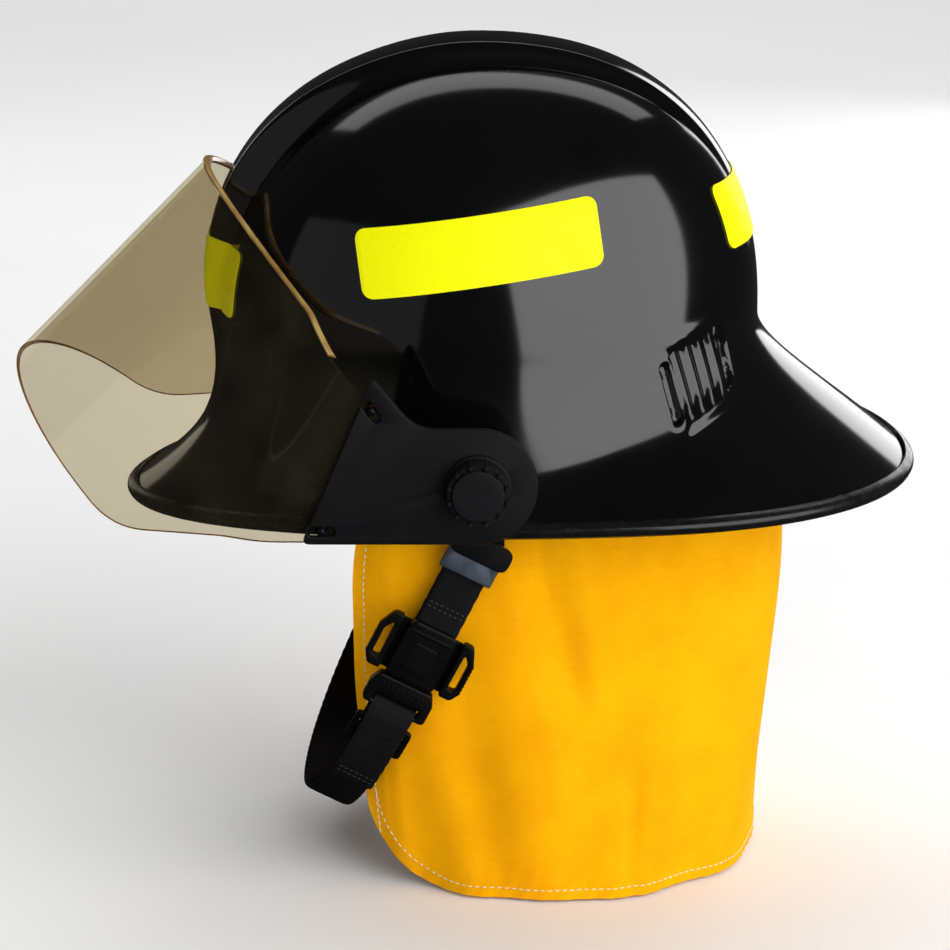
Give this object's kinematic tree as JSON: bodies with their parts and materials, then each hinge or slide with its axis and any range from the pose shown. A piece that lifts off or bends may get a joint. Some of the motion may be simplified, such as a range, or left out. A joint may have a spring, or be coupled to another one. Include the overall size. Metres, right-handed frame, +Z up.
{
  "type": "firefighter helmet",
  "caption": "Brimmed fire helmet with a raised comb, flip-up amber face shield on side knobs, cloth neck curtain, chin strap with side-release buckle and ratchet headband.",
  "frame": {"origin": "middle of the head opening, about level with the brim's lowest stretch, on the line where the wearer's head axis crosses it", "axes": "+Z up out of the crown, -Y to the wearer's front (the face shield), +X to the wearer's left (the buckle side)"},
  "size_m": [0.3028, 0.4074, 0.3797],
  "materials": {
    "shell_gloss": "moulded shell, polished gloss black",
    "edge_trim": "extruded edging, semi-gloss black",
    "reflective_tape": "fluorescent yellow-green prismatic retroreflective tape",
    "liner_foam": "dark rigid foam",
    "webbing": "black woven nylon webbing",
    "headgear_plastic": "black moulded nylon",
    "pad": "black knitted cloth over soft foam",
    "curtain_cloth": "yellow-orange woven flame-resistant cloth, stitched hem",
    "lens": "amber-tinted transparent sheet, glossy",
    "lens_lip": "amber-brown edge lip",
    "bracket_black": "satin black moulded plastic",
    "knob_black": "matt black moulded plastic",
    "stud_black": "glossy black rivet",
    "zinc_steel": "zinc-plated steel"
  },
  "bodies": {
    "shell": {"outer_shell": "shell_gloss", "edge_trim": "edge_trim", "reflector_left": "reflective_tape", "reflector_right": "reflective_tape", "reflector_front": "reflective_tape", "reflector_rear": "reflective_tape", "impact_liner": "liner_foam", "crown_strap_long": "webbing", "crown_strap_cross": "webbing", "suspension_key_left": "headgear_plastic", "suspension_key_right": "headgear_plastic", "suspension_key_front": "headgear_plastic", "suspension_key_rear": "headgear_plastic", "headband_front": "headgear_plastic", "brow_pad": "pad", "neck_curtain": "curtain_cloth", "curtain_band": "webbing", "pivot_mount_left": "bracket_black", "pivot_mount_right": "bracket_black", "pivot_bolt_left": "zinc_steel", "pivot_bolt_right": "zinc_steel", "pivot_washer_left": "knob_black", "pivot_washer_right": "knob_black", "strap_hanger_left": "bracket_black", "strap_hanger_right": "bracket_black"},
    "visor": {"face_shield": "lens", "shield_lip": "lens_lip", "shield_plate_left": "bracket_black", "shield_plate_right": "bracket_black", "shield_stud_upper_left": "stud_black", "shield_stud_upper_right": "stud_black", "shield_stud_lower_left": "stud_black", "shield_stud_lower_right": "stud_black"},
    "knob_left": {"clamp_knob_left": "knob_black"},
    "knob_right": {"clamp_knob_right": "knob_black"},
    "rear_band": {"headband_rear": "headgear_plastic", "nape_pad": "pad", "ratchet_housing": "headgear_plastic"},
    "ratchet": {"ratchet_knob": "knob_black"},
    "chin_strap": {"strap_ring_left": "zinc_steel", "strap_ring_right": "zinc_steel", "strap_upper": "webbing", "buckle_socket": "knob_black", "buckle_tongue": "knob_black", "strap_lower": "webbing", "strap_slider": "knob_black", "strap_tail": "webbing"},
    "prong_rear": {"buckle_prong_rear": "knob_black"},
    "prong_front": {"buckle_prong_front": "knob_black"}
  },
  "joints": [
    {"name": "shield_hinge", "type": "hinge", "parent": "shell", "child": "visor", "pos_m": [0, 0.0013, 0.0336], "axis": [1, 0, 0], "range_deg": [0, 38]},
    {"name": "knob_turn_left", "type": "hinge", "parent": "shell", "child": "knob_left", "pos_m": [0.14, 0.0013, 0.0336], "axis": [1, 0, 0], "range_deg": [0, 90]},
    {"name": "knob_turn_right", "type": "hinge", "parent": "shell", "child": "knob_right", "pos_m": [-0.14, 0.0013, 0.0336], "axis": [-1, 0, 0], "range_deg": [0, 90]},
    {"name": "headband_slide", "type": "slide", "parent": "shell", "child": "rear_band", "axis": [0, -1, 0], "range_m": [0, 0.02]},
    {"name": "ratchet_turn", "type": "hinge", "parent": "rear_band", "child": "ratchet", "pos_m": [0, 0.113, 0.02], "axis": [0, 1, 0], "range_deg": [0, 540]},
    {"name": "strap_swing", "type": "hinge", "parent": "shell", "child": "chin_strap", "pos_m": [0, 0.0013, -0.004], "axis": [1, 0, 0], "range_deg": [-35, 0]},
    {"name": "prong_press_rear", "type": "slide", "parent": "chin_strap", "child": "prong_rear", "axis": [0, -0.8926, 0.4509], "range_m": [0, 0.0025], "stiffness_N_per_m": 300},
    {"name": "prong_press_front", "type": "slide", "parent": "chin_strap", "child": "prong_front", "axis": [0, 0.8926, -0.4509], "range_m": [0, 0.0025], "stiffness_N_per_m": 300}
  ],
  "couplings": [
    {"joint": "ratchet_turn", "follows": "headband_slide", "rad_per_m": 470.77},
    {"joint": "prong_press_front", "follows": "prong_press_rear", "ratio": 1}
  ]
}
